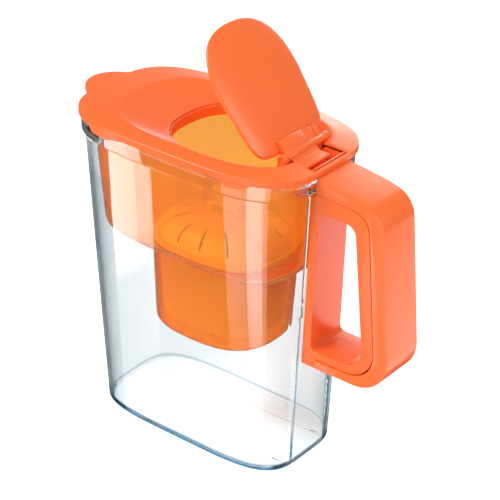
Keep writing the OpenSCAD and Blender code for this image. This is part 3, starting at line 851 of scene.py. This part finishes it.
# The grip ears hang from the skirt, two on each side: (top, foot, foot, top) along X.
EARS = ((-78, -74, -57, -54), (44, 49, 64, 68))
ear_band = [oval(inset(LID_RIM, d, z), turns)
            for d, z in ((0, 239.6), (0, 245), (1, 245), (1, 239.6))]
for side in (-1, 1):
    for top_a, foot_a, foot_b, top_b in EARS:
        strip = skin("ear", ear_band, True)
        shape = slab("ear_shape", [rounded([(top_a, 244.5, 0), (foot_a, 240, 2), (foot_b, 240, 2),
                                            (top_b, 244.5, 0)])],
                     min(0, side * 80), max(0, side * 80))
        cut(strip, shape, "INTERSECT")
        round_edges(strip, 0.2, None, 2, 50)
        parts.append(strip)
lid = join(parts, "lid_dressed")
smooth(lid)
dress(lid, orange_abs, "lid", "orange_plastic", "lid")

# --- Flap -------------------------------------------------------------------------------------
# The crowned plate over the fill opening, moulded in one with its hinge barrel and the thumb
# lever. Two slits free a springy tongue at the hinge. The plate is modelled shut, then opened.

OPEN_ANGLE = 51.8
FLAP_EDGE = (15.4, 48.9, 43.2, 2.5, 245.4, 6.5, 0.09)
CROWN = (15.4, 24.9, 19.2, 2.4, 250.8, 2.4, 0)
SLITS_Y = (9, 19.5)
SLIT = 0.9
LUG_CLEARANCE = 0.4
STUB_R = 1.55

turns = angles_round(FLAP_EDGE, 170)


def flap_ring(d, z):
    """The flap's edge made smaller by d at a height."""
    return oval(inset(FLAP_EDGE, d, z), turns)


profile = [
    (oval(inset(CROWN, 18, 249), turns), 0),
    (oval(inset(CROWN, 0, 249), turns), 0),
    (flap_ring(16, 248.6), 0),
    (flap_ring(8, 247.7), 0),
    (flap_ring(2.4, 246.4), 0.8),
    (flap_ring(1.8, 245.4), 0.4),
    (flap_ring(0.2, 245.4), 0.4),
    (flap_ring(0, 247), 0.8),
    (flap_ring(1.2, 248.1), 1.2),
    (flap_ring(8, 249.5), 2.5),
    (flap_ring(16, 250.4), 4),
    (oval(CROWN, turns), 4),
    (oval(inset(CROWN, 12, 250.9), turns), 3),
    (oval(inset(CROWN, 18, 250.9), turns), 0),
]
plate = moulding("flap_dressed", profile)
web_near = slab("web_near", [[(55.5, 248.8), (55.5, 250.9), (57, 251.8), (68.5, 253.4),
                              (69.5, 248.3), (64.5, 247.4)]], -16.83, 9.3)
web_far = slab("web_far", [[(56.5, 248.6), (56.5, 250.9), (67.5, 252.6), (69.5, 248.3),
                            (64.5, 247.4)]], 9.6, 24.43)
shut = [plate, web_near, web_far]
opened = (Matrix.Translation((PIVOT_X * MM, 0, PIVOT_Z * MM))
          @ Matrix.Rotation(math.radians(OPEN_ANGLE), 4, "Y")
          @ Matrix.Translation((-PIVOT_X * MM, 0, -PIVOT_Z * MM)))
for part in shut:
    for y in SLITS_Y:
        cut(part, block("slit", (54.5, y, 242), (76.5, y + SLIT, 262)))
    if part is plate:
        for y0, y1 in (LUG_NEAR, LUG_FAR):
            cut(part, block("lug_room", (64.6, y0 - LUG_CLEARANCE, 238),
                            (84.6, y1 + LUG_CLEARANCE, 258)))
    round_edges(part, 0.3, None, 2, 50)
    part.data.transform(opened)
barrel = rod("barrel", PIVOT_X, PIVOT_Z, BARREL_R, -16.9, 24.5)
round_edges(barrel, 0.3, None, 2, 50)
stub = rod("stub", PIVOT_X, PIVOT_Z, STUB_R, -21.6, 30.6)
lever = slab("lever", [rounded([(69, 252.9, 0), (75, 247.5, 3), (84.5, 247.5, 1.2),
                                (84.5, 244.7, 1.2), (69.5, 247.2, 0)], 5)], -14.5, 14.5)
round_edges(lever, 0.5, None, 3, 50)
flap = join(shut + [barrel, stub, lever], "flap_dressed")
smooth(flap)
dress(flap, orange_abs, "flap", "orange_plastic", "flap")

# --- Filter cartridge -------------------------------------------------------------------------
# White polypropylene cup and slotted dome with a pull loop, a soft seal under its shoulder, two
# screens, a felt pad, and a bed of dark filter granules.

MERGE_FACES_WITHIN = 1e-5
CUP_SHARP = 40


def plain_finish(name, hex_colour, roughness, ior=1.49):
    """One even colour, for a surface whose grain is too fine to show."""
    material, tree = new_material(name)
    body = add_node(tree, "ShaderNodeBsdfPrincipled",
                    {"Base Color": srgb(hex_colour), "Roughness": roughness, "IOR": ior})
    add_node(tree, "ShaderNodeOutputMaterial", None, {"Surface": body.outputs[0]})
    return material


def merged_copy(node):
    """A copy of a part's mesh with its faces joined up, for smooth shading."""
    piece = nodes[node].copy()
    piece.data = piece.data.copy()
    piece.name = node + "_dressed"
    scene.collection.objects.link(piece)
    only(piece)
    bpy.ops.object.mode_set(mode="EDIT")
    bpy.ops.mesh.select_all(action="SELECT")
    bpy.ops.mesh.remove_doubles(threshold=MERGE_FACES_WITHIN)
    bpy.ops.object.mode_set(mode="OBJECT")
    return piece


# Moulded white polypropylene: soft satin white. Silicone: dull, warm grey. Woven nylon screens:
# flat pale grey, their threads too fine to see. Needled felt: matt off-white. Carbon granules:
# near black, and dull.
white_pp = plain_finish("white_polypropylene", "#F7F7F4", 0.35)
finishes = {
    "cartridge_housing": (white_pp, "white_plastic"), "cartridge_cap": (white_pp, "white_plastic"),
    "cartridge_seal": (plain_finish("silicone_seal", "#D9D9D4", 0.6, 1.41), "seal_rubber"),
    "inlet_screen": (plain_finish("screen_nylon", "#D2D6D8", 0.5), "mesh"),
    "outlet_screen": (plain_finish("screen_nylon_low", "#D2D6D8", 0.5), "mesh"),
    "felt_pad": (plain_finish("needled_felt", "#E6E6E0", 0.95), "felt"),
    "filter_media": (plain_finish("carbon_granules", "#24211F", 0.8), "granules"),
}
for node, (finish, slot) in finishes.items():
    piece = merged_copy(node)
    piece.parent = None
    smooth(piece, CUP_SHARP)
    dress(piece, finish, "cartridge", slot, node)
